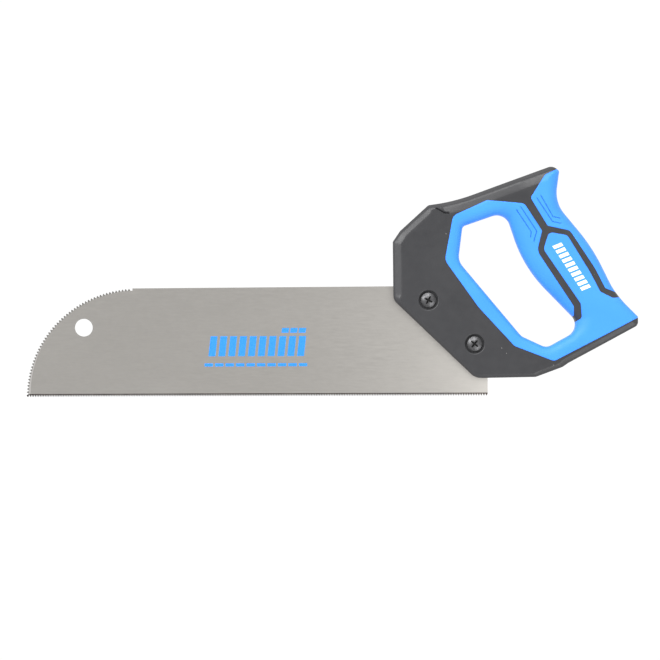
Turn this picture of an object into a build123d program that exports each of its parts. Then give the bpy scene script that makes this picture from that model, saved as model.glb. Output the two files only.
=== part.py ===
from build123d import *
import os
from math import acos, cos, sin, sqrt

# A flooring back saw, lying on its far cheek: +X runs from the nose to the butt of the handle, +Y from the teeth
# to the back of the blade, and +Z is up. The origin is under the middle of the saw, on the surface it lies on.
# Outlines are drawn from the blade's heel: x is measured behind the heel and y above the line of tooth points.
# All sizes are in millimetres.

# Blade
blade_length = 330.2
blade_thickness = 0.9
tooth_pitch = 25.4 / 14
tooth_depth = 1.5
nose_length = 79.0
nose_height = 77.4
nose_end = -255.6
nose_teeth = 51
notch = -254.2
back_height_at_notch = 77.5
tang_top = (-29.7, 78.6)
tang_heel_height = 50.0
hanging_hole_centre = (-289.1, 49.5)
hanging_hole_diameter = 12.7

# Handle
butt_reach = 107.0
horn_height = 163.3
cheek_thickness = 22.0
grip_thickness = 28.0
palm_edge_thickness = 25.0
skin = 2.5
edge_rounding = 3.5
slot_clearance = 0.05
slot_margin = 0.3

# Screws and sleeve nuts
screw_places = {"upper": (-42.4, 68.4), "lower": (-9.5, 37.0)}
recess_diameter = 13.8
recess_depth = 3.6
head_diameter = 10.9
head_height = 2.8
head_rim = 1.0
sleeve_diameter = 7.0
sleeve_bore_diameter = 4.2
shank_diameter = 4.16
sleeve_hole_diameter = 7.2
sleeve_length = 13.0
shank_length = 11.5
cross_length = 5.6
cross_width = 1.1
cross_depth = 1.7
coin_slot_width = 1.4
coin_slot_depth = 1.2

mid_height = grip_thickness / 2
heel_x = (blade_length - butt_reach) / 2
tooth_line_y = -horn_height / 2
saw_plane = Plane(origin=(heel_x, tooth_line_y, mid_height))

# The grip leans forward: its section is drawn across it, on a plane that looks along it.
grip_middle = (57.0, 93.0)
grip_across = Vector(0.836, 0.549, 0).normalized()
grip_along = Vector(0.549, -0.836, 0).normalized()
grip_plane = Plane(
    origin=(heel_x + grip_middle[0], tooth_line_y + grip_middle[1], mid_height),
    x_dir=grip_across,
    z_dir=grip_along,
)

# Corners of the outlines, each as x, y and the radius that rounds it.
handle_corners = [
    (-67.3, 68.5, 8.0),
    (-67.6, 110.3, 2.0),
    (-62.5, 117.8, 2.0),
    (-42.3, 136.2, 3.0),
    (-23.0, 139.1, 140.0),
    (46.7, 164.3, 6.0),
    (51.6, 160.5, 2.0),
    (48.4, 138.0, 24.0),
    (74.9, 106.0, 130.0),
    (91.6, 72.1, 65.0),
    (107.3, 56.2, 1.5),
    (107.4, 50.0, 4.0),
    (57.8, 23.3, 1.0),
    (53.4, 20.3, 2.0),
    (34.2, 13.2, 4.0),
    (-8.9, 12.5, 10.0),
]
hand_hole_corners = [
    (-17.8, 121.0, 3.5),
    (12.9, 131.6, 9.5),
    (26.3, 91.5, 95.0),
    (68.4, 48.3, 9.0),
    (42.2, 33.9, 8.0),
    (24.0, 42.4, 9.0),
    (-20.9, 96.3, 11.0),
]
# The finger loop is the skin inside this line, whose two ends meet inside the hand hole.
finger_loop_corners = [
    (56.4, 53.7, 0.0),
    (61.6, 56.9, 1.0),
    (61.5, 63.6, 3.0),
    (35.4, 103.2, 9.0),
    (38.9, 117.7, 2.0),
    (26.3, 137.3, 5.0),
    (-0.3, 139.7, 2.0),
    (-24.6, 128.7, 6.0),
    (-30.6, 96.8, 8.0),
    (-6.6, 63.1, 40.0),
    (19.0, 35.3, 6.0),
    (47.3, 24.4, 4.0),
    (112.4, 58.0, 0.0),
    (96.5, 70.1, 0.0),
    (89.2, 69.6, 2.0),
    (80.4, 74.0, 2.0),
    (73.0, 88.2, 40.0),
    (56.9, 114.5, 4.5),
    (43.7, 116.7, 3.5),
    (39.8, 104.3, 5.0),
    (66.2, 65.6, 3.0),
    (67.1, 55.2, 2.5),
    (56.4, 48.6, 0.0),
]
palm_strip_corners = [
    (58.8, 165.2, 0.0),
    (50.3, 162.0, 0.0),
    (41.2, 157.9, 5.0),
    (30.7, 141.2, 2.5),
    (42.8, 121.1, 2.5),
    (58.8, 117.7, 5.0),
    (76.9, 90.2, 60.0),
    (83.9, 76.4, 2.0),
    (91.4, 73.6, 0.0),
    (99.5, 73.6, 0.0),
    (99.7, 129.1, 0.0),
]


def outline(corners, mode=Mode.ADD):
    """A face in the open sketch, bounded by straight runs with rounded corners."""
    points = [(x, y) for x, y, _ in corners]
    radii = [radius for _, _, radius in corners]
    with BuildLine() as edge:
        FilletPolyline(*points, radius=radii, close=True)
    make_face(edge.edges(), mode=mode)


def grip_section(inset):
    """Corners of the handle's thickness, measured across the grip: flat cheeks in front, a crown, a palm edge."""
    cheek = cheek_thickness / 2 - inset
    crown = grip_thickness / 2 - inset
    palm = palm_edge_thickness / 2 - inset
    upper = [
        (-260.0, cheek, 0.0),
        (-40.0, cheek, 60.0),
        (-9.0, crown, 60.0),
        (8.0, crown, 50.0),
        (40.0, palm, 0.0),
    ]
    return upper + [(x, -y, radius) for x, y, radius in reversed(upper)]


def handle_form(inset):
    """The whole handle as one solid, drawn in by the inset on every side; with no inset its edges are rounded."""
    with BuildPart() as form:
        with BuildSketch(saw_plane):
            outline(handle_corners)
            outline(hand_hole_corners, mode=Mode.SUBTRACT)
            if inset:
                offset(amount=-inset, mode=Mode.REPLACE)
        extrude(amount=grip_thickness, both=True)
        with BuildSketch(grip_plane):
            outline(grip_section(inset))
        extrude(amount=blade_length, both=True, mode=Mode.INTERSECT)
        if not inset:
            rims = form.edges() - form.edges().filter_by(Axis.Z)
            fillet(rims, edge_rounding)
    return form.part


def overmold(corners, form, skeleton):
    """A soft moulding: the outer skin of the handle inside a line, on top of the skeleton."""
    with BuildPart() as moulding:
        with BuildSketch(saw_plane):
            outline(corners)
        extrude(amount=grip_thickness, both=True)
        add(form, mode=Mode.INTERSECT)
        add(skeleton, mode=Mode.SUBTRACT)
    return moulding.part


def blade_edge():
    """Points round the blade: straight teeth from heel to toe, the teeth of the nose, the back and the tang."""
    points = [(0.0, tooth_depth)]
    straight_teeth = round(blade_length / tooth_pitch)
    for tooth in range(straight_teeth):
        points.append((-(tooth + 0.5) * tooth_pitch, 0.0))
        points.append((-(tooth + 1) * tooth_pitch, tooth_depth))
    points.pop()
    nose_middle = nose_length - blade_length
    nose_turn = acos((nose_middle - nose_end) / nose_length)
    root_length = nose_length - tooth_depth
    root_height = nose_height - tooth_depth
    for tooth in range(nose_teeth):
        tip = nose_turn * (tooth + 0.5) / nose_teeth
        root = nose_turn * (tooth + 1) / nose_teeth
        points.append((nose_middle - nose_length * cos(tip), nose_height * sin(tip)))
        points.append((nose_middle - root_length * cos(root), root_height * sin(root)))
    points.append((notch, root_height))
    points.append((notch, back_height_at_notch))
    points.append(tang_top)
    points.append((0.0, tang_heel_height))
    return points


def seat_plane(place, side):
    """An upright plane on a screw's axis, at its seat: y points out of the handle, on the near (1) or far side."""
    seat_height = mid_height + side * (cheek_thickness / 2 - recess_depth)
    return Plane(
        origin=(heel_x + place[0], tooth_line_y + place[1], seat_height),
        x_dir=(1, 0, 0),
        z_dir=(0, -side, 0),
    )


def face_plane(place, side, height):
    """A plane across a screw's axis, at a height above its seat, that faces out of the handle."""
    seat = seat_plane(place, side)
    return Plane(
        origin=seat.origin + seat.y_dir * height,
        x_dir=(1, 0, 0),
        z_dir=seat.y_dir,
    )


def headed_pin(place, side, pin_diameter, pin_length):
    """A turned fastener whose low domed head stands on its seat in the handle."""
    seat = seat_plane(place, side)
    head_radius = head_diameter / 2
    dome = head_height - head_rim
    dome_radius = (head_radius**2 + dome**2) / (2 * dome)
    halfway = head_height - dome_radius + sqrt(dome_radius**2 - (head_radius / 2) ** 2)
    with BuildPart() as pin:
        with BuildSketch(seat):
            with BuildLine() as section:
                Polyline(
                    (0, head_height),
                    (0, -pin_length),
                    (pin_diameter / 2, -pin_length),
                    (pin_diameter / 2, 0),
                    (head_radius, 0),
                    (head_radius, head_rim),
                )
                ThreePointArc((head_radius, head_rim), (head_radius / 2, halfway), (0, head_height))
            make_face(section.edges())
        revolve(axis=Axis(seat.origin, seat.y_dir))
    return pin.part


os.makedirs("parts", exist_ok=True)

# Blade: one plate, with the hanging hole near the nose and a hole for each sleeve nut in the tang.
with BuildPart() as blade:
    with BuildSketch(saw_plane):
        with BuildLine() as edge:
            Polyline(*blade_edge(), close=True)
        make_face(edge.edges())
        with Locations(hanging_hole_centre):
            Circle(hanging_hole_diameter / 2, mode=Mode.SUBTRACT)
        with Locations(*screw_places.values()):
            Circle(sleeve_hole_diameter / 2, mode=Mode.SUBTRACT)
    extrude(amount=blade_thickness / 2, both=True)
blade.part.label = "blade"
export_step(blade.part, "parts/blade.step")

# Handle: the form that the hand feels is shared out between the hard core and the two soft mouldings.
form = handle_form(0)
skeleton = handle_form(skin)
finger_loop = overmold(finger_loop_corners, form, skeleton)
finger_loop.label = "finger_loop_overmold"
export_step(finger_loop, "parts/finger_loop_overmold.step")
palm_strip = overmold(palm_strip_corners, form, skeleton)
palm_strip.label = "palm_overmold"
export_step(palm_strip, "parts/palm_overmold.step")

with BuildPart() as handle_core:
    add(form)
    add(finger_loop, mode=Mode.SUBTRACT)
    add(palm_strip, mode=Mode.SUBTRACT)
    # the slot for the tang is open in front, below the cheeks' slanted edge and at the heel
    with BuildSketch(saw_plane):
        with BuildLine() as slot_edge:
            Polyline(
                (slot_margin, -slot_margin),
                (slot_margin, tang_heel_height + slot_margin),
                (tang_top[0] + slot_margin, tang_top[1] + slot_margin),
                (notch, tang_top[1] + slot_margin),
                (notch, -slot_margin),
                close=True,
            )
        make_face(slot_edge.edges())
    extrude(amount=blade_thickness / 2 + slot_clearance, both=True, mode=Mode.SUBTRACT)
    with BuildSketch(saw_plane):
        with Locations(*screw_places.values()):
            Circle(sleeve_hole_diameter / 2)
    extrude(amount=grip_thickness, both=True, mode=Mode.SUBTRACT)
    for side in (1, -1):
        seats = [face_plane(place, side, 0) for place in screw_places.values()]
        with BuildSketch(*seats):
            Circle(recess_diameter / 2)
        extrude(amount=recess_depth, mode=Mode.SUBTRACT)
handle_core.part.label = "handle_core"
export_step(handle_core.part, "parts/handle_core.step")

# Fasteners: each screw turns into a sleeve nut that reaches through the tang from the far cheek.
for name, place in screw_places.items():
    with BuildPart() as screw:
        add(headed_pin(place, 1, shank_diameter, shank_length))
        with BuildSketch(face_plane(place, 1, head_height)):
            for turn in (45, -45):
                Rectangle(cross_length, cross_width, rotation=turn)
        extrude(amount=-cross_depth, mode=Mode.SUBTRACT)
    screw.part.label = f"{name}_screw"
    export_step(screw.part, f"parts/{name}_screw.step")

    with BuildPart() as nut:
        add(headed_pin(place, -1, sleeve_diameter, sleeve_length))
        with BuildSketch(face_plane(place, -1, -sleeve_length)):
            Circle(sleeve_bore_diameter / 2)
        extrude(amount=sleeve_length, mode=Mode.SUBTRACT)
        with BuildSketch(face_plane(place, -1, head_height)):
            Rectangle(head_diameter, coin_slot_width)
        extrude(amount=-coin_slot_depth, mode=Mode.SUBTRACT)
    nut.part.label = f"{name}_sleeve_nut"
    export_step(nut.part, f"parts/{name}_sleeve_nut.step")
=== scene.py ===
"""A flooring saw lying on its far cheek: a thin steel blade, a hard dark core and two soft blue mouldings.

Shapes are drawn in millimetres from the blade's heel, as the CAD model is: u runs behind the heel, v above
the line of tooth points, and h is the height over the middle plane of the blade.
"""

import math

import bmesh
import bpy
import numpy as np
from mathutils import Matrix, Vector
from mathutils.geometry import delaunay_2d_cdt


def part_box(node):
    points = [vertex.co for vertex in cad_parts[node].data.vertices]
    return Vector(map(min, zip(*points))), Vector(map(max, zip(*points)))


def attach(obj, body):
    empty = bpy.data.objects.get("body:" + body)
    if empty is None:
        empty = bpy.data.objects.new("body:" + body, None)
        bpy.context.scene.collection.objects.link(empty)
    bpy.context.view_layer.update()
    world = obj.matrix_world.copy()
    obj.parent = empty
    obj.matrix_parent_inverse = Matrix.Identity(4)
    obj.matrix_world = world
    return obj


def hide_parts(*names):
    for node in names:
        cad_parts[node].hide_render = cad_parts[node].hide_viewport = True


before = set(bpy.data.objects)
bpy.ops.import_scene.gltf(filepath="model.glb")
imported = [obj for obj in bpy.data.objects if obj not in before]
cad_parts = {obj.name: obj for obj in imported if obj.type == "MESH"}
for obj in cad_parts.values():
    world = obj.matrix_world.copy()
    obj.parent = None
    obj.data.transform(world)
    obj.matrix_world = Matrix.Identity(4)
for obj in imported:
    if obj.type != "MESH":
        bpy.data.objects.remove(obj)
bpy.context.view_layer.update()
MM = 0.001

# ---------------------------------------------------------------- places, all read from the frame
BLADE_LOW, BLADE_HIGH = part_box("blade")
HEEL = Vector((BLADE_HIGH.x, BLADE_LOW.y, (BLADE_LOW.z + BLADE_HIGH.z) / 2))
BLADE_LENGTH = (BLADE_HIGH.x - BLADE_LOW.x) / MM
BLADE_HALF = (BLADE_HIGH.z - BLADE_LOW.z) / 2 / MM


def node_middle(node):
    """Where a fastener's axis stands, as (u, v)."""
    low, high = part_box(node)
    middle = (low + high) / 2 - HEEL
    return middle.x / MM, middle.y / MM


def place(points):
    """Millimetre drawing points (u, v, h) as metres in the row frame."""
    return np.asarray(points, float) * MM + np.array(HEEL)


# ---------------------------------------------------------------- outlines, as (u, v, corner radius)
HANDLE_CORNERS = [
    (-67.3, 68.5, 8.0), (-67.6, 110.3, 2.0), (-62.5, 117.8, 2.0), (-42.3, 136.2, 3.0), (-33.2, 137.57, 0.0),
    (-23.0, 139.1, 140.0), (24.0, 156.1, 0.0), (46.7, 164.3, 6.0), (51.6, 160.5, 2.0),
    (48.4, 138.0, 24.0), (74.9, 106.0, 130.0), (91.6, 72.1, 65.0), (107.3, 56.2, 1.5),
    (107.4, 50.0, 4.0), (57.8, 23.3, 1.0), (53.4, 20.3, 2.0), (34.2, 13.2, 4.0), (-8.9, 12.5, 10.0),
]
HOLE_CORNERS = [
    (-17.8, 121.0, 3.5), (12.9, 131.6, 9.5), (26.3, 91.5, 95.0), (68.4, 48.3, 9.0), (42.2, 33.9, 8.0),
    (24.0, 42.4, 9.0), (-20.9, 96.3, 11.0),
]
LOOP_CORNERS = [
    (56.4, 53.7, 0.0), (61.6, 56.9, 1.0), (61.5, 63.6, 3.0), (35.4, 103.2, 9.0), (38.9, 117.7, 2.0),
    (26.3, 137.3, 5.0), (-0.3, 139.7, 2.0), (-24.6, 128.7, 6.0), (-30.6, 96.8, 8.0), (-6.6, 63.1, 40.0),
    (19.0, 35.3, 6.0), (47.3, 24.4, 4.0), (112.4, 58.0, 0.0), (96.5, 70.1, 0.0), (89.2, 69.6, 2.0),
    (80.4, 74.0, 2.0), (73.0, 88.2, 40.0), (56.9, 114.5, 4.5), (43.7, 116.7, 3.5), (39.8, 104.3, 5.0),
    (66.2, 65.6, 3.0), (67.1, 55.2, 2.5), (56.4, 48.6, 0.0),
]
PALM_CORNERS = [
    (58.8, 165.2, 0.0), (50.3, 162.0, 0.0), (41.2, 157.9, 5.0), (30.7, 141.2, 2.5), (42.8, 121.1, 2.5),
    (58.8, 117.7, 5.0), (76.9, 90.2, 60.0), (83.9, 76.4, 2.0), (91.4, 73.6, 0.0), (99.5, 73.6, 0.0),
    (99.7, 129.1, 0.0),
]
GRIP_MIDDLE = np.array((57.0, 93.0))
GRIP_ACROSS = np.array((0.836, 0.549))
GRIP_ALONG = np.array((0.549, -0.836))
CHEEK_HALF = 11.0
GRIP_HALF = 14.0
SKIN = 2.2
GROOVES = [
    [(35.5, 140.7), (46.3, 124.2), (51.9, 122.9)],
    [(38.4, 142.2), (46.7, 127.6), (51.2, 126.7)],
    [(20.8, 132.5), (31.1, 117.0), (30.7, 113.5)],
    [(23.8, 134.6), (35.1, 117.3), (33.0, 110.2)],
]
STEP_LINE = [(-36.4, 133.9), (-34.7, 133.1), (-32.7, 131.9), (-30.9, 130.9), (-29.6, 130.6), (-27.6, 130.6)]


# ---------------------------------------------------------------- plane geometry
def rounded(corners, step):
    """Points about a step apart round an outline with rounded corners, and the run that each belongs to."""
    points, runs, arcs = [], [], []
    count = len(corners)
    for i, (x, y, radius) in enumerate(corners):
        corner = np.array((x, y))
        back = np.array(corners[i - 1][:2]) - corner
        ahead = np.array(corners[(i + 1) % count][:2]) - corner
        back, ahead = back / np.linalg.norm(back), ahead / np.linalg.norm(ahead)
        half_turn = (math.pi - math.acos(np.clip(back @ ahead, -1, 1))) / 2
        if radius == 0:
            arcs.append([corner])
            continue
        reach = radius * math.tan(half_turn)
        inward = (back + ahead) / np.linalg.norm(back + ahead)
        centre = corner + inward * radius / math.cos(half_turn)
        first, last = corner + back * reach - centre, corner + ahead * reach - centre
        turn = 2 * half_turn
        pieces = max(2, math.ceil(radius * turn / step), math.ceil(turn / math.radians(12)))
        shares = [k / pieces for k in range(pieces + 1)]
        arcs.append([
            centre + (math.sin(turn * (1 - t)) * first + math.sin(turn * t) * last) / math.sin(turn)
            for t in shares
        ])
    for i, arc in enumerate(arcs):
        for k, point in enumerate(arc):
            points.append(point)
            runs.append(i if 2 * k >= len(arc) - 1 else i - 1)
        gap = arcs[(i + 1) % count][0] - arc[-1]
        pieces = max(1, round(np.linalg.norm(gap) / step))
        for k in range(1, pieces):
            points.append(arc[-1] + gap * k / pieces)
            runs.append(i)
    return np.array(points), np.array(runs) % count


def dense(line, step):
    """An open line through its points, cut into pieces about a step long."""
    points = [np.array(line[0])]
    for a, b in zip(line, line[1:]):
        a, b = np.array(a), np.array(b)
        pieces = max(1, round(np.linalg.norm(b - a) / step))
        points += [a + (b - a) * k / pieces for k in range(1, pieces + 1)]
    return np.array(points)


def nearest(points, line, closed=True):
    """Distance from each point to a line, the segment that is nearest and how far along it."""
    ends = np.roll(line, -1, axis=0) if closed else line[1:]
    starts = line if closed else line[:-1]
    way = ends - starts
    length2 = np.maximum((way**2).sum(1), 1e-12)
    distance, segment, along = [], [], []
    for chunk in np.array_split(points, max(1, len(points) // 2000)):
        offset = chunk[:, None, :] - starts[None]
        t = np.clip((offset * way).sum(2) / length2, 0, 1)
        gap = np.linalg.norm(offset - t[..., None] * way, axis=2)
        best = gap.argmin(1)
        rows = np.arange(len(chunk))
        distance.append(gap[rows, best])
        segment.append(best)
        along.append(t[rows, best])
    return np.concatenate(distance), np.concatenate(segment), np.concatenate(along)


def inside(points, polygon):
    """Which points lie inside a polygon."""
    x, y = points[:, 0:1], points[:, 1:2]
    x1, y1 = polygon[:, 0], polygon[:, 1]
    x2, y2 = np.roll(x1, -1), np.roll(y1, -1)
    crosses = (y1 > y) != (y2 > y)
    with np.errstate(divide="ignore", invalid="ignore"):
        left = x < (x2 - x1) * (y - y1) / (y2 - y1) + x1
    return (crosses & left).sum(1) % 2 == 1


def smoothstep(low, high, x):
    t = np.clip((x - low) / (high - low), 0, 1)
    return t * t * (3 - 2 * t)


# ---------------------------------------------------------------- edges and heights of the handle
# How each run of an outline turns over at its rim: a broad slope (width, depth), a steep one (width, depth),
# and whether they are flat bevels (1) or rounds (0).
HANDLE_RIMS = [
    (5.7, 2.3, 0.8, 0.9, 1), (5.6, 2.4, 1.4, 1.4, 1), (5.2, 2.3, 1.8, 1.8, 1), (3.2, 1.4, 2.0, 2.4, 1),
    (8.2, 2.3, 2.7, 4.2, 1), (8.8, 2.0, 2.7, 4.2, 1), (8.6, 2.9, 2.7, 4.2, 1),
    (6.0, 4.0, 2.2, 2.0, 0.5), (7.0, 7.0, 1.5, 1.0, 0), (10.0, 8.2, 1.5, 1.0, 0), (10.0, 8.2, 1.5, 1.0, 0),
    (6.0, 5.0, 1.5, 1.0, 0), (4.2, 2.2, 1.0, 1.0, 1), (4.2, 1.9, 1.0, 1.2, 1), (4.0, 2.6, 1.0, 1.0, 1),
    (3.2, 2.0, 1.0, 0.8, 1), (2.4, 1.4, 0.8, 0.8, 1), (2.6, 2.2, 0.8, 0.8, 1),
]
HOLE_RIMS = [
    (7.0, 6.0, 1.5, 1.0, 0), (14.0, 8.6, 1.5, 1.0, 0), (14.0, 8.6, 1.5, 1.0, 0), (7.0, 5.5, 1.5, 1.0, 0),
    (6.0, 4.5, 1.5, 1.0, 0), (6.0, 4.5, 1.5, 1.0, 0), (6.5, 5.0, 1.5, 1.0, 0),
]
SECTION_AT = [-60.0, -40.0, -9.0, 8.0, 40.0, 60.0]
SECTION_HALF = [CHEEK_HALF, CHEEK_HALF, GRIP_HALF, GRIP_HALF, 12.5, 11.6]
SECTION_WINDOW = 29
CORE_BELOW = 0.4
SKIN_TURN = 4.5
RIM_STEP = 0.9
RIM_WINDOW = 9
GRID_STEP = 1.3
RINGS = (0.12, 0.35, 0.7, 1.1, 1.7, 2.4, 3.3, 4.4, 5.6, 7.0, 8.5, 10.2, 12.0, 14.0)
LIP_RINGS = (0.12, 0.3, 0.55, 0.8, 1.1)
LIP = 0.55
GROOVE_HALF, GROOVE_DEPTH = 0.42, 0.8
GROOVE_RINGS = (0.14, 0.28, 0.42, 0.62, 0.85, 1.1, 1.4)
STEP_LIP, STEP_LIP_AT, STEP_LIP_WIDTH = 0.4, 0.85, 0.3
BEAD_HEIGHT, BEAD_AT, BEAD_WIDTH = 0.32, 4.8, 1.1
RECESS_LIP, RECESS_LIP_WIDTH = 0.6, 0.8
CREASE_RINGS = (-0.25, 0.25)
WALL_LEVELS = (0.6, 0.2, -0.2, -0.6)
PLASTIC_SHARP = 38
RECESS_RADIUS = 6.9
BORE_RADIUS = 3.6


def soft_section(points):
    """Half the form's thickness, without its rims: flat cheeks, a crowned grip, a thinner palm side."""
    across = (points - GRIP_MIDDLE) @ GRIP_ACROSS
    fine = np.arange(-90.0, 90.0, 0.5)
    raw = np.interp(fine, SECTION_AT, SECTION_HALF)
    window = np.hanning(SECTION_WINDOW)
    padded = np.pad(raw, SECTION_WINDOW // 2, mode="edge")
    smooth = np.convolve(padded, window / window.sum(), mode="valid")
    return np.interp(across, fine, smooth)


class Rim:
    """One silhouette line of the handle and the way that the surface turns over along it."""

    def __init__(self, corners, rims, inward):
        self.line, runs = rounded(corners, RIM_STEP)
        facts = np.array(rims, float)[runs]
        window = np.ones(RIM_WINDOW) / RIM_WINDOW
        wrap = RIM_WINDOW // 2
        wrapped = np.concatenate([facts[-wrap:], facts, facts[:wrap]])
        self.facts = np.stack([np.convolve(wrapped[:, k], window, mode="valid") for k in range(5)], axis=1)
        way = np.roll(self.line, -1, axis=0) - np.roll(self.line, 1, axis=0)
        normal = np.stack([-way[:, 1], way[:, 0]], axis=1)
        self.inward = inward * normal / np.linalg.norm(normal, axis=1, keepdims=True)

    def look(self, points):
        """Distance from the rim, the direction away from it, and how far the surface has dropped there."""
        distance, segment, along = nearest(points, self.line)
        after = (segment + 1) % len(self.line)
        mix = along[:, None]
        width, depth, steep_width, steep_depth, flat = (
            self.facts[segment] * (1 - mix) + self.facts[after] * mix
        ).T
        inward = self.inward[segment] * (1 - mix) + self.inward[after] * mix
        drop = 0
        for reach, fall, soft in ((width, depth, 0.0012), (steep_width, steep_depth, 0.006)):
            x = 1 - distance / reach
            bevel = (x + np.sqrt(x * x + soft)) / 2
            curve = 1 - np.sqrt(1 - np.clip(x, 0, 0.9995) ** 2)
            drop = drop + fall * (flat * bevel * (x > -1) + (1 - flat) * curve)
        return distance, inward, drop


def turning(line):
    """1 for an outline drawn anticlockwise, -1 for clockwise."""
    x, y = line.T
    return 1 if (x * np.roll(y, -1) - np.roll(x, -1) * y).sum() > 0 else -1


def closed_line(corners, step):
    return rounded(corners, step)[0]


def circle(middle, radius, count):
    turns = np.arange(count) * 2 * math.pi / count
    return np.array(middle) + radius * np.stack([np.cos(turns), np.sin(turns)], axis=1)


def side_points(line, offset, closed):
    """Points at an offset to the left of a line."""
    if closed:
        way = np.roll(line, -1, axis=0) - np.roll(line, 1, axis=0)
    else:
        way = np.gradient(line, axis=0)
    normal = np.stack([-way[:, 1], way[:, 0]], axis=1)
    return line + offset * normal / np.linalg.norm(normal, axis=1, keepdims=True)


class Picker:
    """Keeps points that are not too near to each other."""

    def __init__(self, cell):
        self.cell, self.cells, self.kept = cell, {}, []

    def add(self, points, gap):
        for x, y in points:
            i, j = int(x // self.cell), int(y // self.cell)
            close = any(
                (x - a) ** 2 + (y - b) ** 2 < gap * gap
                for p in (i - 1, i, i + 1) for q in (j - 1, j, j + 1) for a, b in self.cells.get((p, q), ())
            )
            if not close:
                self.cells.setdefault((i, j), []).append((x, y))
                self.kept.append((x, y))


def triangulated(lines, extra):
    """Triangles over the points, with every line kept as edges. Lines are (points, closed)."""
    verts, edges = [], []
    for line, closed in lines:
        first, count = len(verts), len(line)
        verts += [Vector(p) for p in line]
        edges += [(first + k, first + (k + 1) % count) for k in range(count if closed else count - 1)]
    verts += [Vector(p) for p in extra]
    made = delaunay_2d_cdt(verts, edges, [], 0, 1e-5)
    points, faces = np.array([tuple(p) for p in made[0]]), np.array(made[2])
    a, b = points[faces[:, 1]] - points[faces[:, 0]], points[faces[:, 2]] - points[faces[:, 0]]
    return points, faces[np.abs(a[:, 0] * b[:, 1] - a[:, 1] * b[:, 0]) > 1e-3]


def sides_of(face):
    """The pairs of points along a face's sides, in order."""
    return zip(face, (*face[1:], face[0]))


def without_unused(points, faces):
    """The points that the faces use, and the faces numbered to match."""
    used = np.unique(faces)
    renumber = np.full(len(points), -1)
    renumber[used] = np.arange(len(used))
    return points[used], renumber[faces]


outer_line, hole_line = closed_line(HANDLE_CORNERS, RIM_STEP), closed_line(HOLE_CORNERS, RIM_STEP)
outer_rim = Rim(HANDLE_CORNERS, HANDLE_RIMS, turning(outer_line))
hole_rim = Rim(HOLE_CORNERS, HOLE_RIMS, -turning(hole_line))
loop_line, palm_line = closed_line(LOOP_CORNERS, RIM_STEP), closed_line(PALM_CORNERS, RIM_STEP)
SCREW_PLACES = {name: node_middle(f"{name}_screw") for name in ("upper", "lower")}
HEAD_RADIUS, HEAD_HEIGHT, HEAD_RIM, SHOULDER = 5.45, 2.8, 1.0, 0.35
FLOOR_HALF = (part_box("upper_screw")[1].z - HEEL.z) / MM - HEAD_HEIGHT


def handle_plan():
    """The handle seen from above: points, triangles, and the part that each triangle belongs to."""
    groove_lines = [dense(line, RIM_STEP) for line in [*GROOVES, STEP_LINE]]
    recesses = [circle(place, RECESS_RADIUS, 72) for place in SCREW_PLACES.values()]
    bores = [circle(place, BORE_RADIUS, 36) for place in SCREW_PLACES.values()]
    lines = [(outer_line, True), (hole_line, True), (loop_line, True), (palm_line, True)]
    lines += [(line, False) for line in groove_lines]
    lines += [(line, True) for line in [*recesses, *bores]]

    picker = Picker(1.0)
    for line, _ in lines:
        picker.add(line, 0.02)
    fixed = len(picker.kept)
    for line, closed, rings in (
        [(line, True, LIP_RINGS) for line in (loop_line, palm_line)]
        + [(line, True, LIP_RINGS) for line in recesses]
        + [(line, False, GROOVE_RINGS) for line in groove_lines]
    ):
        for k, ring in enumerate(rings):
            gap = 0.45 * (ring - (rings[k - 1] if k else 0))
            for side in (1, -1):
                picker.add(side_points(line, side * ring, closed), gap)
    for crease in CREASE_RINGS:
        for width in (0, 2):
            inset = outer_rim.facts[:, width : width + 1] + crease
            picker.add(outer_rim.line + inset * outer_rim.inward, 0.2)
    for rim in (outer_rim, hole_rim):
        for k, ring in enumerate(RINGS):
            gap = 0.5 * (ring - (RINGS[k - 1] if k else 0))
            picker.add(rim.line + ring * rim.inward, min(gap, 0.6))
    low, high = outer_line.min(0), outer_line.max(0)
    rows = np.arange(low[1], high[1], GRID_STEP * 0.866)
    for k, v in enumerate(rows):
        row = np.arange(low[0] + (k % 2) * GRID_STEP / 2, high[0], GRID_STEP)
        picker.add(np.stack([row, np.full(len(row), v)], axis=1), 0.8)
    extra = np.array(picker.kept[fixed:])
    extra = extra[inside(extra, outer_line) & ~inside(extra, hole_line)]
    extra = extra[(nearest(extra, outer_line)[0] > 0.08) & (nearest(extra, hole_line)[0] > 0.08)]

    points, faces = triangulated(lines, extra)
    middles = points[faces].mean(1)
    within = inside(middles, outer_line) & ~inside(middles, hole_line)
    faces, middles = faces[within], middles[within]
    palm_or_core = np.where(inside(middles, palm_line), "palm", "core")
    tags = np.where(inside(middles, loop_line), "loop", palm_or_core).astype("U6")
    for place in SCREW_PLACES.values():
        reach = np.linalg.norm(middles - np.array(place), axis=1)
        tags[reach < RECESS_RADIUS] = "recess"
        tags[reach < BORE_RADIUS] = "bore"
    return *without_unused(points, faces), tags


def handle_heights(points):
    """The form's half height at each point, with its rims turned over, and where its inner skin lies."""
    outer_gap, outer_in, outer_drop = outer_rim.look(points)
    hole_gap, hole_in, hole_drop = hole_rim.look(points)
    bead = BEAD_HEIGHT * np.exp(-(((hole_gap - BEAD_AT) / BEAD_WIDTH) ** 2))
    bead = bead * smoothstep(44, 30, points[:, 0])
    bead = bead * smoothstep(100, 84, points[:, 1])
    half = soft_section(points) - outer_drop - hole_drop - bead
    near_outer = (outer_gap < hole_gap)[:, None]
    gap = np.minimum(outer_gap, hole_gap)
    inward = np.where(near_outer, outer_in, hole_in)
    shift = np.clip(SKIN * (1 - gap / SKIN_TURN), 0, None)
    return half, gap, points + inward * shift[:, None]


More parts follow.
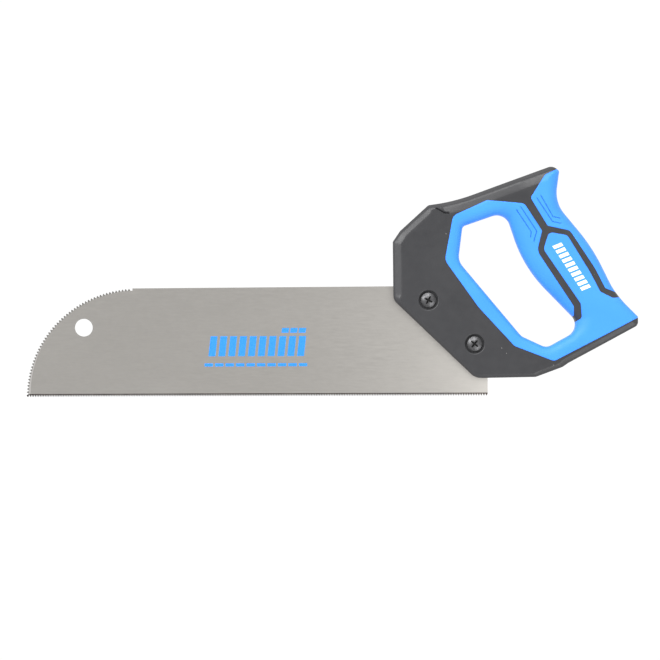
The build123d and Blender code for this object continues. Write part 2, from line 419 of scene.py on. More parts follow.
def build_handle():
    """Points of the closed skin of the whole handle and the faces of each part of it."""
    points, faces, tags = handle_plan()
    count = len(points)
    half, gap, inner_points = handle_heights(points)
    lip_gap = np.minimum(nearest(points, loop_line)[0], nearest(points, palm_line)[0])
    lip = LIP * (1 - np.sqrt(1 - np.clip(1 - lip_gap / LIP, 0, 1) ** 2))
    cut = np.zeros(count)
    for line in [*GROOVES, STEP_LINE]:
        reach = nearest(points, dense(line, RIM_STEP), closed=False)[0]
        cut = np.maximum(cut, GROOVE_DEPTH * np.clip(1 - reach / GROOVE_HALF, 0, 1))
    # the loop ends on the step line, which has a raised lip on both sides
    cut = cut - STEP_LIP * np.exp(-(((reach - STEP_LIP_AT) / STEP_LIP_WIDTH) ** 2))
    hollow = np.zeros(count)
    for place in SCREW_PLACES.values():
        reach = np.linalg.norm(points - np.array(place), axis=1) - RECESS_RADIUS
        turned_over = 1 - np.sqrt(1 - np.clip(1 - reach / RECESS_LIP_WIDTH, 0, 1) ** 2)
        hollow = np.maximum(hollow, RECESS_LIP * turned_over * (reach > -0.05))
    heights = {
        "soft": half - lip - cut,
        "core": half - CORE_BELOW - cut - hollow,
        "inner": half - SKIN,
        "recess": np.full(count, FLOOR_HALF),
    }
    plans = {"soft": points, "core": points, "inner": inner_points, "recess": points}

    # the rim's points get a column of points down the wall
    edges = {}
    for face, tag in zip(faces, tags):
        for a, b in sides_of(face):
            edges.setdefault((min(a, b), max(a, b)), []).append((a, b, tag))
    rim_edges = [rows[0] for rows in edges.values() if len(rows) == 1]
    rim_points = sorted({a for a, _, _ in rim_edges} | {b for _, b, _ in rim_edges})
    column = {p: k for k, p in enumerate(rim_points)}
    levels = len(WALL_LEVELS)
    wall_from = np.repeat(rim_points, levels)
    wall_level = np.tile(WALL_LEVELS, len(rim_points))

    layers = {}
    for name in heights:
        top = np.column_stack([plans[name], heights[name]])
        bottom = np.column_stack([plans[name], -heights[name]])
        wall = np.column_stack([plans[name][wall_from], heights[name][wall_from] * wall_level])
        layers[name] = np.concatenate([top, bottom, wall])

    def at(p, level):
        if level == 0:
            return p
        if level == levels + 1:
            return p + count
        return 2 * count + column[p] * levels + level - 1

    skin_faces, skin_tags = [], []
    for face, tag in zip(faces, tags):
        skin_faces += [tuple(face), tuple(face[::-1] + count)]
        skin_tags += [tag, tag]
    for a, b, tag in rim_edges:
        for level in range(levels + 1):
            skin_faces.append((at(b, level), at(a, level), at(a, level + 1), at(b, level + 1)))
            skin_tags.append(tag)
    return layers, skin_faces, skin_tags, count


def numbering(layers):
    """A function that numbers the points of the layers as they are first used, and the list that it fills."""
    numbers, verts = {}, []

    def number(layer, p):
        key = (layer, p)
        if key not in numbers:
            numbers[key] = len(verts)
            verts.append(layers[layer][p])
        return numbers[key]

    return number, verts


def layered_mesh(layers, skin_faces, skin_tags, layer_of, count):
    """One closed surface: each face lies on its tag's layer, and steps join the layers where tags meet."""
    number, verts = numbering(layers)
    made, sides = [], {}
    for face, tag in zip(skin_faces, skin_tags):
        layer = layer_of(tag)
        if layer is None:
            layer = ""
        else:
            made.append([number(layer, p) for p in face])
        for side in sides_of(face):
            sides[side] = layer
    for (a, b), layer in sides.items():
        other = sides.get((b, a), layer)
        if layer == other or not layer:
            continue
        if other:
            if layer < other:
                made.append([number(layer, b), number(layer, a), number(other, a), number(other, b)])
        elif b < count and a < count:
            made.append([number(layer, p) for p in (b, a, a + count, b + count)])
    return verts, made


def shell_mesh(layers, skin_faces, skin_tags, tag, outer, inner):
    """A closed shell over one tag's faces, from its outer layer down to its inner layer."""
    number, verts = numbering(layers)
    made, sides = [], set()
    for face, face_tag in zip(skin_faces, skin_tags):
        if face_tag != tag:
            continue
        made.append([number(outer, p) for p in face])
        made.append([number(inner, p) for p in reversed(face)])
        sides |= set(sides_of(face))
    for a, b in sides:
        if (b, a) not in sides:
            made.append([number(outer, b), number(outer, a), number(inner, a), number(inner, b)])
    return verts, made


def face_outward(mesh):
    """Turns every face of a closed mesh outward."""
    form = bmesh.new()
    form.from_mesh(mesh)
    bmesh.ops.recalc_face_normals(form, faces=form.faces)
    form.to_mesh(mesh)
    form.free()


def smooth_object(name, verts, faces, material, sharp=PLASTIC_SHARP):
    """A mesh object in the row frame, shaded smooth with its sharper edges kept."""
    mesh = bpy.data.meshes.new(name)
    mesh.from_pydata(place(verts).tolist(), [], faces)
    mesh.validate()
    mesh.materials.append(material)
    face_outward(mesh)
    made = bpy.data.objects.new(name, mesh)
    bpy.context.scene.collection.objects.link(made)
    sharpen(mesh, sharp)
    return made


def sharpen(mesh, angle):
    """Shades a mesh smooth, but for the edges that turn by the angle or more."""
    form = bmesh.new()
    form.from_mesh(mesh)
    for edge in form.edges:
        edge.smooth = len(edge.link_faces) == 2 and edge.calc_face_angle(0) < math.radians(angle)
    for face in form.faces:
        face.smooth = True
    form.to_mesh(mesh)
    form.free()


# ---------------------------------------------------------------- materials
def material(name):
    """A new node material, its shader, a maker of linked nodes and a feeder of the shader's inputs."""
    made = bpy.data.materials.new(name)
    made.use_nodes = True
    tree = made.node_tree
    shader = tree.nodes["Principled BSDF"]

    def node(kind, settings=None, **inputs):
        fresh = tree.nodes.new(kind)
        for key, value in (settings or {}).items():
            setattr(fresh, key, value)
        for key, value in inputs.items():
            socket = fresh.inputs[int(key[1:])] if key[0] == "i" and key[1:].isdigit() else fresh.inputs[key]
            if isinstance(value, bpy.types.NodeSocket):
                tree.links.new(value, socket)
            else:
                socket.default_value = value
        return fresh

    def feed(name, source, output=0):
        tree.links.new(source.outputs[output], shader.inputs[name])

    return made, shader, node, feed


def grain(node, where, size, detail=3.0, stretch=(1, 1, 1), rough=0.55):
    """Noise over object space, its features about size metres across and stretched along an axis."""
    mapped = node("ShaderNodeMapping", i0=where, Scale=[1 / size / s for s in stretch])
    return node("ShaderNodeTexNoise", i0=mapped.outputs[0], Scale=1.0, Detail=detail, Roughness=rough)


def ramp(node, factor, stops):
    """A colour ramp with the given (place, colour) stops."""
    made = node("ShaderNodeValToRGB", i0=factor)
    elements = made.color_ramp.elements
    while len(elements) < len(stops):
        elements.new(0.5)
    for element, (at, colour) in zip(elements, stops):
        element.position = at
        element.color = (*colour, 1) if len(colour) == 3 else colour
    return made


def grey(value):
    return (value, value, value)


def hard_plastic():
    """Near-black moulded nylon with a fine spark-eroded grain, slight clouding and a few specks of dust."""
    made, shader, node, feed = material("hard_plastic_moulded")
    where = node("ShaderNodeTexCoord").outputs["Object"]
    cloud = grain(node, where, 0.045, 2.0)
    base = ramp(node, cloud.outputs[0], [(0.3, (0.022, 0.0222, 0.0245)), (0.7, (0.028, 0.0282, 0.0305))])
    specks = node("ShaderNodeTexVoronoi", i0=where, Scale=210.0, Randomness=1.0)
    fewer = grain(node, where, 0.013, 1.0)
    dust = node("ShaderNodeMath", {"operation": "LESS_THAN"}, i0=specks.outputs["Distance"], i1=0.052)
    patch = node("ShaderNodeMath", {"operation": "GREATER_THAN"}, i0=fewer.outputs[0], i1=0.63)
    dusty = node("ShaderNodeMath", {"operation": "MULTIPLY"}, i0=dust.outputs[0], i1=patch.outputs[0])
    colour = node("ShaderNodeMix", {"data_type": "RGBA"}, i0=dusty.outputs[0], i6=base.outputs[0],
                  i7=(0.3, 0.29, 0.28, 1))
    feed("Base Color", colour, 2)
    fine = grain(node, where, 0.00035, 4.0)
    rough = ramp(node, grain(node, where, 0.006, 4.0).outputs[0], [(0.3, grey(0.38)), (0.7, grey(0.47))])
    feed("Roughness", rough)
    bump = node("ShaderNodeBump", Strength=0.25, Distance=0.00006, Height=fine.outputs[0])
    feed("Normal", bump)
    shader.inputs["Specular IOR Level"].default_value = 0.5
    return made


def soft_rubber():
    """Blue soft elastomer: satin, slightly clouded, with a very fine matt texture."""
    made, shader, node, feed = material("soft_grip_rubber")
    where = node("ShaderNodeTexCoord").outputs["Object"]
    cloud = grain(node, where, 0.03, 3.0)
    base = ramp(node, cloud.outputs[0], [(0.3, (0.03, 0.235, 0.94)), (0.7, (0.038, 0.26, 0.98))])
    feed("Base Color", base)
    rough = ramp(node, grain(node, where, 0.004, 5.0).outputs[0], [(0.3, grey(0.5)), (0.7, grey(0.6))])
    feed("Roughness", rough)
    fine = grain(node, where, 0.00045, 3.0)
    bump = node("ShaderNodeBump", Strength=0.2, Distance=0.00006, Height=fine.outputs[0])
    feed("Normal", bump)
    shader.inputs["Specular IOR Level"].default_value = 0.45
    shader.inputs["Sheen Weight"].default_value = 0.08
    shader.inputs["Sheen Roughness"].default_value = 0.5
    return made


def blade_steel(name, low, high, rough_at=0.36):
    """Satin rolled steel: a fine grain along the blade, faint clouding and a few long hairline scratches."""
    made, shader, node, feed = material(name)
    where = node("ShaderNodeTexCoord").outputs["Object"]
    brushed = grain(node, where, 0.00035, 3.0, (26, 1, 1), 0.6)
    cloud = grain(node, where, 0.05, 4.0, (2.2, 1, 1))
    fleck = grain(node, where, 0.0016, 3.0, (2.5, 1, 1))
    mixed = node("ShaderNodeMix", {"data_type": "FLOAT"}, i0=0.45, i2=cloud.outputs[0], i3=fleck.outputs[0])
    mixed = node("ShaderNodeMix", {"data_type": "FLOAT"}, i0=0.35, i2=mixed.outputs[0], i3=brushed.outputs[0])
    base = ramp(node, mixed.outputs[0], [(0.36, low), (0.64, high)])
    feed("Base Color", base)
    rough = ramp(node, brushed.outputs[0], [(0.3, grey(rough_at)), (0.7, grey(rough_at + 0.07))])
    feed("Roughness", rough)
    tilted = node("ShaderNodeMapping", i0=where, Rotation=(0, 0, 0.06), Scale=(9, 900, 900))
    scratch = node("ShaderNodeTexNoise", i0=tilted.outputs[0], Scale=1.0, Detail=1.0)
    lines = ramp(node, scratch.outputs[0], [(0.705, grey(0)), (0.725, grey(1))])
    height = node("ShaderNodeMix", {"data_type": "FLOAT"}, i0=0.3, i2=brushed.outputs[0], i3=lines.outputs[0])
    bump = node("ShaderNodeBump", Strength=0.12, Distance=0.00003, Height=height.outputs[0])
    feed("Normal", bump)
    shader.inputs["Metallic"].default_value = 1.0
    return made


def hardened_steel():
    """The hardened tooth edge: blotches of dark and brown heat tint."""
    made, shader, node, feed = material("blade_steel_hardened")
    where = node("ShaderNodeTexCoord").outputs["Object"]
    tint = grain(node, where, 0.004, 3.0, (3, 1, 1))
    tints = [(0.3, (0.058, 0.046, 0.04)), (0.55, (0.095, 0.078, 0.068)), (0.75, (0.14, 0.12, 0.1))]
    base = ramp(node, tint.outputs[0], tints)
    feed("Base Color", base)
    fine = grain(node, where, 0.0003, 3.0, (8, 1, 1))
    rough = ramp(node, fine.outputs[0], [(0.3, grey(0.34)), (0.7, grey(0.46))])
    feed("Roughness", rough)
    shader.inputs["Metallic"].default_value = 0.85
    return made


def black_steel():
    """Black-coated screw steel, slightly glossy, worn a little brighter in places."""
    made, shader, node, feed = material("black_steel_coated")
    where = node("ShaderNodeTexCoord").outputs["Object"]
    wear = grain(node, where, 0.0011, 5.0)
    tones = [(0.35, (0.085, 0.085, 0.088)), (0.6, (0.11, 0.11, 0.113)), (0.72, (0.17, 0.17, 0.175))]
    base = ramp(node, wear.outputs[0], tones)
    feed("Base Color", base)
    rough = ramp(node, grain(node, where, 0.0007, 4.0).outputs[0], [(0.3, grey(0.34)), (0.7, grey(0.44))])
    feed("Roughness", rough)
    bump = node("ShaderNodeBump", Strength=0.1, Distance=0.00005, Height=wear.outputs[0])
    feed("Normal", bump)
    shader.inputs["Metallic"].default_value = 0.9
    return made


def slot_painted_shade():
    """The inside of a driving slot, painted near-black as shade: the recess's darkness is put in its colour."""
    made, shader, node, feed = material("slot_shade_painted_black")
    where = node("ShaderNodeTexCoord").outputs["Object"]
    base = ramp(node, grain(node, where, 0.0005, 3.0).outputs[0], [(0.3, grey(0.01)), (0.7, grey(0.02))])
    feed("Base Color", base)
    shader.inputs["Roughness"].default_value = 0.6
    shader.inputs["Specular IOR Level"].default_value = 0.2
    return made


def ink(name, light, dark):
    """A screen-printed ink film, thinner in small specks."""
    made, shader, node, feed = material(name)
    where = node("ShaderNodeTexCoord").outputs["Object"]
    patchy = grain(node, where, 0.0008, 4.0)
    base = ramp(node, patchy.outputs[0], [(0.3, dark), (0.55, light)])
    feed("Base Color", base)
    rough = ramp(node, patchy.outputs[0], [(0.3, grey(0.5)), (0.7, grey(0.38))])
    feed("Roughness", rough)
    return made


# ---------------------------------------------------------------- blade
TOOTH_PITCH = 25.4 / 14
TOOTH_DEPTH = 1.5
NOSE_LENGTH, NOSE_HEIGHT, NOSE_END, NOSE_TEETH = 79.0, 77.4, -255.6, 51
ROOT_LENGTH, ROOT_HEIGHT = NOSE_LENGTH - TOOTH_DEPTH, NOSE_HEIGHT - TOOTH_DEPTH
NOTCH, BACK_AT_NOTCH = -254.2, 77.5
TANG_TOP, TANG_HEEL = (-29.7, 78.6), 50.0
HANGING_HOLE, HANGING_RADIUS = (-289.1, 49.5), 6.35
HARD_BAND = 2.1
HOLE_BEVEL, HOLE_BEVEL_DROP = 0.35, 0.15
GROUND_BAND, GROUND_TURN = 1.3, 0.6
TOOTH_SET = 0.1
TIP_THINNING = 0.08
FLEAM = 0.15
GULLET = 0.05
TIP = 0.08


def blade_outline():
    """Points round the blade, and how far each is set to the near side: +1, -1 or 0."""
    points, lean = [(0.0, TOOTH_DEPTH)], [0]
    straight = round(BLADE_LENGTH / TOOTH_PITCH)
    for tooth in range(straight):
        points += [
            (-(tooth + 0.5 - TIP) * TOOTH_PITCH, 0.0), (-(tooth + 0.5 + TIP) * TOOTH_PITCH, 0.0),
            (-(tooth + 1 - GULLET) * TOOTH_PITCH, TOOTH_DEPTH),
            (-(tooth + 1 + GULLET) * TOOTH_PITCH, TOOTH_DEPTH),
        ]
        lean += [1 if tooth % 2 else -1] * 2 + [0, 0]
    del points[-2:], lean[-2:]
    middle = NOSE_LENGTH - BLADE_LENGTH
    turn = math.acos((middle - NOSE_END) / NOSE_LENGTH)
    for tooth in range(NOSE_TEETH):
        for step in (0.5 - TIP, 0.5 + TIP):
            tip = turn * (tooth + step) / NOSE_TEETH
            points.append((middle - NOSE_LENGTH * math.cos(tip), NOSE_HEIGHT * math.sin(tip)))
        for step in (1 - GULLET, 1 + GULLET):
            root = turn * (tooth + step) / NOSE_TEETH
            points.append((middle - ROOT_LENGTH * math.cos(root), ROOT_HEIGHT * math.sin(root)))
        lean += [1 if tooth % 2 else -1] * 2 + [0, 0]
    del points[-1:], lean[-1:]
    points += [(NOTCH, ROOT_HEIGHT), (NOTCH, BACK_AT_NOTCH), TANG_TOP, (0.0, TANG_HEEL)]
    lean += [0, 0, 0, 0]
    return np.array(points), np.array(lean)


def ground_inset(turn):
    """How far inside the tooth points the ground band ends: it thins out over its turn round the nose."""
    return TOOTH_DEPTH + GROUND_BAND * (1 - turn / GROUND_TURN)


def build_blade(steel, hardened, ground, toothed):
    """The blade: bevelled, alternately set teeth, a hardened edge and a ground band inside the nose."""
    line, lean = blade_outline()
    middle = NOSE_LENGTH - BLADE_LENGTH
    arc = []
    for t in np.linspace(0.03, GROUND_TURN - 0.03, 60):
        inset = ground_inset(t)
        arc.append((middle - (NOSE_LENGTH - inset) * math.cos(t), (NOSE_HEIGHT - inset) * math.sin(t)))
    arc = np.array(arc)
    band = np.array([(1.0, HARD_BAND), (-BLADE_LENGTH - 1.0, HARD_BAND)])
    holes = [circle(HANGING_HOLE, HANGING_RADIUS, 96)]
    holes += [circle(place, BORE_RADIUS, 36) for place in SCREW_PLACES.values()]
    bevel_line = circle(HANGING_HOLE, HANGING_RADIUS + HOLE_BEVEL, 96)
    roots = line[(lean == 0) & (line[:, 0] < NOSE_END)]
    lines = [(line, True), (band, False), (arc, False), (roots, False)]
    lines += [(hole, True) for hole in [*holes, bevel_line]]
    points, faces = triangulated(lines, [])
    middles = points[faces].mean(1)
    within = inside(middles, line)
    for hole in holes:
        within &= ~inside(middles, hole)
    points, faces = without_unused(points, faces[within])
    leans = {tuple(np.round(p, 4)): k for p, k in zip(line, lean)}
    side = np.array([leans.get(tuple(np.round(p, 4)), 0) for p in points])
    bevel = abs(np.linalg.norm(points - np.array(HANGING_HOLE), axis=1) - HANGING_RADIUS) < 0.02
    height = np.where(side == 0, BLADE_HALF, BLADE_HALF - TIP_THINNING)
    height = np.where(bevel, BLADE_HALF - HOLE_BEVEL_DROP, height)
    centre = np.array((middle, 20.0))
    pull = centre - points
    pull[points[:, 0] > middle] = (0.0, 1.0)
    pull = pull / np.linalg.norm(pull, axis=1, keepdims=True)
    near = points + pull * np.where(side < 0, FLEAM, 0.0)[:, None]
    far = points + pull * np.where(side > 0, FLEAM, 0.0)[:, None]
    top = np.column_stack([near, height + TOOTH_SET * side])
    bottom = np.column_stack([far, -height + TOOTH_SET * side])
    count = len(points)
    made = [tuple(f) for f in faces] + [tuple(f[::-1] + count) for f in faces]
    edges = {}
    for face in faces:
        for a, b in sides_of(face):
            edges[(a, b)] = True
    made += [(b, a, a + count, b + count) for a, b in edges if (b, a) not in edges]
    blade = smooth_object("saw_blade", np.concatenate([top, bottom]), made, steel, 12)
    for extra in (hardened, ground, toothed):
        blade.data.materials.append(extra)
    for polygon in blade.data.polygons:
        u, v, _ = (polygon.center - HEEL) / MM
        polygon.use_smooth = False
        t = math.atan2(v / NOSE_HEIGHT, (middle - u) / NOSE_LENGTH)
        inset = ground_inset(t)
        past_band = math.hypot((u - middle) / (NOSE_LENGTH - inset), v / (NOSE_HEIGHT - inset)) > 1.0
        past_root = math.hypot((u - middle) / ROOT_LENGTH, v / ROOT_HEIGHT) > 1.0
        on_bevel = math.dist((u, v), HANGING_HOLE) < HANGING_RADIUS + HOLE_BEVEL - 0.01
        if v < HARD_BAND:
            polygon.material_index = 1
        elif on_bevel or u < NOSE_END and past_root:
            polygon.material_index = 3
        elif u < middle and t < GROUND_TURN and past_band:
            polygon.material_index = 2
    return blade


# ---------------------------------------------------------------- fasteners
PRISM_TAPER = 0.72
CROSS_DEPTH, COIN_DEPTH = 1.7, 1.2
HEAD_SHARP = 32


def turned(profile, count=96):
    """A surface of revolution about h from (radius, h) points that start and end on the axis."""
    verts, faces = [(0, 0, profile[0][1])], []
    for radius, height in profile[1:-1]:
        ring = circle((0, 0), radius, count)
        verts += [(x, y, height) for x, y in ring]
    verts.append((0, 0, profile[-1][1]))
    last = len(verts) - 1
    rings = len(profile) - 2
    for k in range(count):
        after = (k + 1) % count
        faces.append((0, 1 + k, 1 + after))
        for ring in range(rings - 1):
            a, b = 1 + ring * count, 1 + (ring + 1) * count
            faces.append((a + k, b + k, b + after, a + after))
        faces.append((1 + (rings - 1) * count + after, 1 + (rings - 1) * count + k, last))
    return verts, faces


def dome(radius):
    """Height of the head's dome over its seat at a radius."""
    rise = HEAD_HEIGHT - HEAD_RIM
    ball = (HEAD_RADIUS**2 + rise**2) / (2 * rise)
    return HEAD_HEIGHT - ball + math.sqrt(ball**2 - radius**2)


def head_profile(pin_radius, pin_length):
    """From the top of a domed head, over its rounded shoulder, down to the end of its pin."""
    start = HEAD_RADIUS - SHOULDER
    shoulder = [(r, dome(r)) for r in np.linspace(0, start, 12)]
    turn = [
        (start + SHOULDER * math.sin(t), dome(start) - 0.45 * (1 - math.cos(t)))
        for t in np.linspace(0.2, math.pi / 2, 5)
    ]
    return [*shoulder, *turn, (HEAD_RADIUS, 0.12), (HEAD_RADIUS - 0.12, 0), (pin_radius, 0),
            (pin_radius, -pin_length + 0.3), (pin_radius - 0.3, -pin_length), (0, -pin_length)]


def prism(corners, low, high):
    """Points and faces of an upright prism, its lower end drawn in to a taper."""
    count = len(corners)
    middle = np.mean(corners, axis=0)
    verts = [(*(middle + (np.array(c) - middle) * PRISM_TAPER), low) for c in corners]
    verts += [(*c, high) for c in corners]
    faces = [tuple(reversed(range(count))), tuple(range(count, 2 * count))]
    faces += [(k, (k + 1) % count, (k + 1) % count + count, k + count) for k in range(count)]
    return verts, faces


def carve(piece, verts, faces):
    """Cuts a shape out of a piece, exactly."""
    mesh = bpy.data.meshes.new("cutter")
    mesh.from_pydata([tuple(v) for v in verts], [], faces)
    face_outward(mesh)
    cutter = bpy.data.objects.new("cutter", mesh)
    bpy.context.scene.collection.objects.link(cutter)
    cut = piece.modifiers.new("cut", "BOOLEAN")
    cut.operation, cut.solver, cut.object = "DIFFERENCE", "EXACT", cutter
    shown = bpy.context.evaluated_depsgraph_get()
    carved = bpy.data.meshes.new_from_object(piece.evaluated_get(shown))
    piece.modifiers.clear()
    piece.data = carved
    bpy.data.objects.remove(cutter)


def cross_corners(reach, half, neck):
    """The outline of a cross recess: four wings round a square middle."""
    corners = []
    for quarter in range(4):
        turn = math.radians(90 * quarter)
        for x, y in ((neck, -neck), (reach, -half), (reach, half)):
            corners.append((x * math.cos(turn) - y * math.sin(turn), x * math.sin(turn) + y * math.cos(turn)))
    return corners


def fastener(name, axis, side, profile, head_material, slot_shade_material, slot, turn):
    """A turned fastener on its seat on the near (1) or far (-1) side, with its driving slot cut in."""
    seat = FLOOR_HALF * side
    verts, faces = turned(profile)
    mesh_verts = [(axis[0] + x, axis[1] + y * side, seat + h * side) for x, y, h in verts]
    piece = smooth_object(name, mesh_verts, [tuple(reversed(f)) for f in faces], head_material, HEAD_SHARP)
    corners, depth = slot
    cosine, sine = math.cos(turn), math.sin(turn)
    corners = [(x * cosine - y * sine, x * sine + y * cosine) for x, y in corners]
    cut_verts, cut_faces = prism(corners, HEAD_HEIGHT - depth, HEAD_HEIGHT + 0.6)
    cut_verts = [(axis[0] + x, axis[1] + y * side, seat + h * side) for x, y, h in cut_verts]
    carve(piece, place(cut_verts), cut_faces)
    sharpen(piece.data, HEAD_SHARP)
    # the faces inside the driving slot get the near-black painted shade
    piece.data.materials.append(slot_shade_material)
    just_outside = 1.02
    cut = np.array([(axis[0] + x * just_outside, axis[1] + y * side * just_outside) for x, y in corners])
    for polygon in piece.data.polygons:
        middle = (polygon.center - HEEL) / MM
        if inside(np.array([middle[:2]]), cut)[0]:
            polygon.material_index = 1
    return piece


# ---------------------------------------------------------------- prints
def bar(u, v, length, width, lean, along):
    """The corners of a bar that starts at (u, v), its ends slanted by lean; along is its direction."""
    along = np.array(along)
    across = np.array((-along[1], along[0]))
    start = np.array((u, v))
    return [start, start + along * length, start + along * (length + lean) + across * width,
            start + along * lean + across * width]


def bar_row(start, pitch, count, length, width, lean):
    """A row of like bars along the blade."""
    return [bar(start[0] + pitch * k, start[1], length, width, lean, (1, 0)) for k in range(count)]


def print_piece(name, bars, height_at, material_):
    """Thin ink films lying on a surface."""
    verts, faces = [], []
    for corners in bars:
        first = len(verts)
        for lift in (0.05, 0.0):
            for corner in corners:
                verts.append((*corner, height_at(np.array([corner]))[0] + lift))
        faces.append(tuple(range(first, first + 4)))
        faces.append(tuple(reversed(range(first + 4, first + 8))))
        faces += [
            (first + (k + 1) % 4, first + k, first + k + 4, first + (k + 1) % 4 + 4) for k in range(4)
        ]
    piece = smooth_object(name, verts, faces, material_, 20)
    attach(piece, "root")
    return piece


# ---------------------------------------------------------------- stage
def make_camera():
    """Straight down on the saw, the blade's teeth towards the bottom of the picture."""
    data = bpy.data.cameras.new("camera")
    data.lens, data.sensor_width = 300.0, 36.0
    data.clip_start, data.clip_end = 0.05, 50.0
    camera = bpy.data.objects.new("camera", data)
    bpy.context.scene.collection.objects.link(camera)
    camera.location = (VIEW_MIDDLE[0], VIEW_MIDDLE[1], HEEL.z + VIEW_WIDTH * data.lens / data.sensor_width)
    camera.rotation_euler = (0, 0, VIEW_TURN)
    bpy.context.scene.camera = camera


def make_floor():
    """A plain white floor that glows evenly, as a light table does."""
    mesh = bpy.data.meshes.new("floor")
    reach = 6.0
    corners = [(-reach, -reach, 0), (reach, -reach, 0), (reach, reach, 0), (-reach, reach, 0)]
    mesh.from_pydata(corners, [], [(0, 1, 2, 3)])
    floor = bpy.data.objects.new("floor", mesh)
    bpy.context.scene.collection.objects.link(floor)
    made, shader, *_ = material("floor_white")
    shader.inputs["Base Color"].default_value = (0, 0, 0, 1)
    shader.inputs["Roughness"].default_value = 0.9
    shader.inputs["Specular IOR Level"].default_value = 0
    shader.inputs["Emission Color"].default_value = (1, 1, 1, 1)
    shader.inputs["Emission Strength"].default_value = FLOOR_GLOW
    mesh.materials.append(made)


def make_lights():
    """A soft sky, three panels round the saw, and one over its heel. Returns the panels by name."""
    lights = {}
    for name, where, size, power, aim in LIGHTS:
        data = bpy.data.lights.new(name, "AREA")
        data.shape, data.size, data.size_y = "RECTANGLE", *size
        data.energy = power
        light = bpy.data.objects.new(name, data)
        light.location = where
        light.rotation_euler = (Vector(aim) - Vector(where)).to_track_quat("-Z", "Y").to_euler()
        light.visible_camera = False
        lights[name] = light
        bpy.context.scene.collection.objects.link(light)
    world = bpy.data.worlds.new("studio")
    world.use_nodes = True
    tree = world.node_tree
    background = tree.nodes["Background"]
    where = tree.nodes.new("ShaderNodeTexCoord")
    axes = tree.nodes.new("ShaderNodeSeparateXYZ")
    shade = tree.nodes.new("ShaderNodeValToRGB")
    tree.links.new(where.outputs["Generated"], axes.inputs[0])
    tree.links.new(axes.outputs[2], shade.inputs[0])
    while len(shade.color_ramp.elements) < len(SKY):
        shade.color_ramp.elements.new(0.5)
    for element, (height, level) in zip(shade.color_ramp.elements, SKY):
        element.position, element.color = height, (level, level, level * 1.01, 1)
    tree.links.new(shade.outputs[0], background.inputs[0])
    background.inputs[1].default_value = SKY_STRENGTH
    bpy.context.scene.world = world
    return lights


VIEW_MIDDLE = (-0.0012, -0.0344)
VIEW_WIDTH = 0.4728
VIEW_TURN = math.radians(-0.19)
FLOOR_GLOW = 1.03
SKY = [(0.0, 0.8), (0.6, 0.85), (0.8, 0.75), (0.96, 0.36)]
SKY_STRENGTH = 1.35
LIGHTS = [
    ("left_key", (-1.15, 0.75, 1.3), (0.9, 1.1), 24.0, (0, 0, 0)),
    ("back_key", (-0.05, 1.37, 1.3), (1.1, 0.9), 21.0, (0, 0, 0)),
    ("front_fill", (1.0, -1.1, 1.3), (1.2, 0.9), 12.0, (0, 0, 0)),
    ("heel_panel", (0.295, 0.0, 0.26), (0.3, 0.6), 1.05, (0.295, 0.0, 0)),
]

bpy.context.scene.view_settings.view_transform = "Standard"
make_camera()
make_floor()
lights = make_lights()

# ---------------------------------------------------------------- the saw
plastic, rubber = hard_plastic(), soft_rubber()
steel = blade_steel("blade_steel_satin", (0.586, 0.564, 0.525), (0.639, 0.615, 0.575))
hardened = hardened_steel()
ground = blade_steel("blade_steel_ground", (0.93, 0.9, 0.86), (0.97, 0.94, 0.9), 0.3)
toothed = blade_steel("blade_steel_toothed", (0.32, 0.31, 0.29), (0.38, 0.365, 0.34), 0.4)
# the slot material paints the inside of the driving slots near-black as shade
screw_black, slot_shade_black = black_steel(), slot_painted_shade()

layers, skin_faces, skin_tags, plan_count = build_handle()
CORE_LAYER = {"core": "core", "loop": "inner", "palm": "inner", "recess": "recess", "bore": None}
core_verts, core_faces = layered_mesh(layers, skin_faces, skin_tags, CORE_LAYER.get, plan_count)
core = smooth_object("handle_core_moulding", core_verts, core_faces, plastic)
# the tang's slot, with some room beyond its edges and less beside its faces
slot_gap, room = BLADE_HALF + 0.05, 0.3
slot_top = TANG_TOP[1] + room
slot = [(room, -room), (room, TANG_HEEL + room), (TANG_TOP[0] + room, slot_top), (NOTCH, slot_top), (NOTCH, -room)]
carve(core, place([(u, v, -slot_gap) for u, v in slot] + [(u, v, slot_gap) for u, v in slot]),
      [(0, 1, 2, 3, 4), (9, 8, 7, 6, 5), *[((k + 1) % 5, k, k + 5, (k + 1) % 5 + 5) for k in range(5)]])
sharpen(core.data, PLASTIC_SHARP)
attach(core, "root")
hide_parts("handle_core")
for tag, node_name in (("loop", "finger_loop_overmold"), ("palm", "palm_overmold")):
    verts, faces = shell_mesh(layers, skin_faces, skin_tags, tag, "soft", "inner")
    piece = smooth_object(f"{tag}_soft_moulding", verts, faces, rubber)
    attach(piece, "root")
    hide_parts(node_name)

blade = build_blade(steel, hardened, ground, toothed)
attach(blade, "root")
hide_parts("blade")
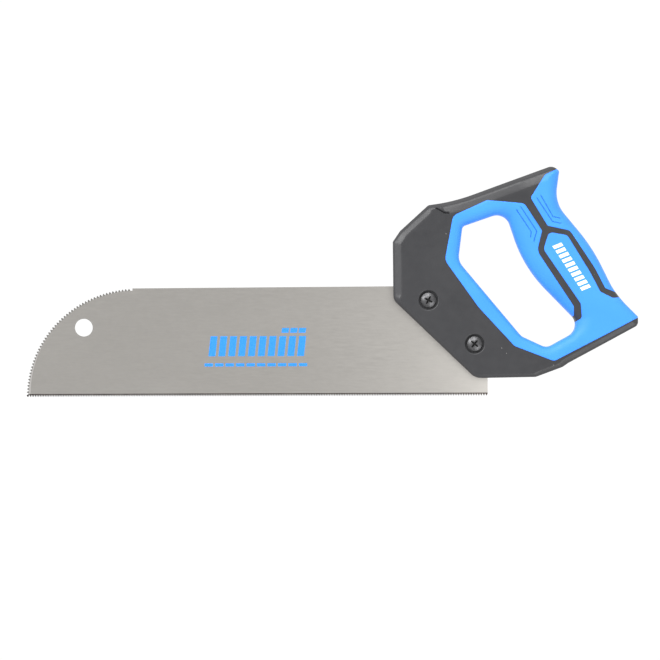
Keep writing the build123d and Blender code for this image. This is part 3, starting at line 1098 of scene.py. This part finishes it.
# the heel panel lights the blade alone, and the other three light everything else
blade_only = bpy.data.collections.new("lit_by_heel_panel")
blade_only.objects.link(blade)
lights["heel_panel"].light_linking.receiver_collection = blade_only
lights["heel_panel"].light_linking.blocker_collection = blade_only
all_but_blade = bpy.data.collections.new("lit_by_key_lights")
all_but_blade.objects.link(blade)
all_but_blade.collection_objects[0].light_linking.link_state = "EXCLUDE"
for name in ("left_key", "back_key", "front_fill"):
    lights[name].light_linking.receiver_collection = all_but_blade

coin = [(-6.0, -0.7), (6.0, -0.7), (6.0, 0.7), (-6.0, 0.7)]
for which, turn in (("upper", math.radians(62)), ("lower", math.radians(50))):
    axis = SCREW_PLACES[which]
    screw = fastener(f"{which}_handle_screw", axis, 1, head_profile(pin_radius=2.08, pin_length=11.5),
                     screw_black, slot_shade_black, (cross_corners(reach=3.1, half=0.55, neck=0.7), CROSS_DEPTH), turn)
    nut = fastener(f"{which}_handle_nut", axis, -1, head_profile(pin_radius=3.5, pin_length=13.0),
                   screw_black, slot_shade_black, (coin, COIN_DEPTH), turn / 2)
    for piece, node_name in ((screw, f"{which}_screw"), (nut, f"{which}_sleeve_nut")):
        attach(piece, "root")
        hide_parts(node_name)

blue_ink = ink("blade_print_blue", (0.012, 0.2, 0.68), (0.03, 0.26, 0.72))
white_ink = ink("grip_print_white", (0.86, 0.87, 0.88), (0.7, 0.75, 0.82))


def blade_top(points):
    return np.full(len(points), BLADE_HALF)


main_bars = bar_row((-199.9, 28.7), pitch=7.05, count=10, length=4.9, width=14.3, lean=1.6)
small_bars = bar_row((-147.6, 45.4), pitch=6.1, count=3, length=5.0, width=3.4, lean=0.6)
line_bars = bar_row((-202.7, 21.4), pitch=7.5, count=10, length=6.0, width=2.2, lean=0)
print_piece("blade_print_bars", main_bars + small_bars + line_bars, blade_top, blue_ink)

grip_start = np.array((59.5, 92.4)) - GRIP_ACROSS * 3.4
grip_steps = [19.2 - 3.95 * k for k in range(10)]
grip_bars = [
    bar(*(grip_start - GRIP_ALONG * step), length=2.6, width=6.8, lean=1.4, along=GRIP_ALONG)
    for step in grip_steps
]
print_piece("grip_print_bars", grip_bars, lambda points: handle_heights(points)[0], white_ink)
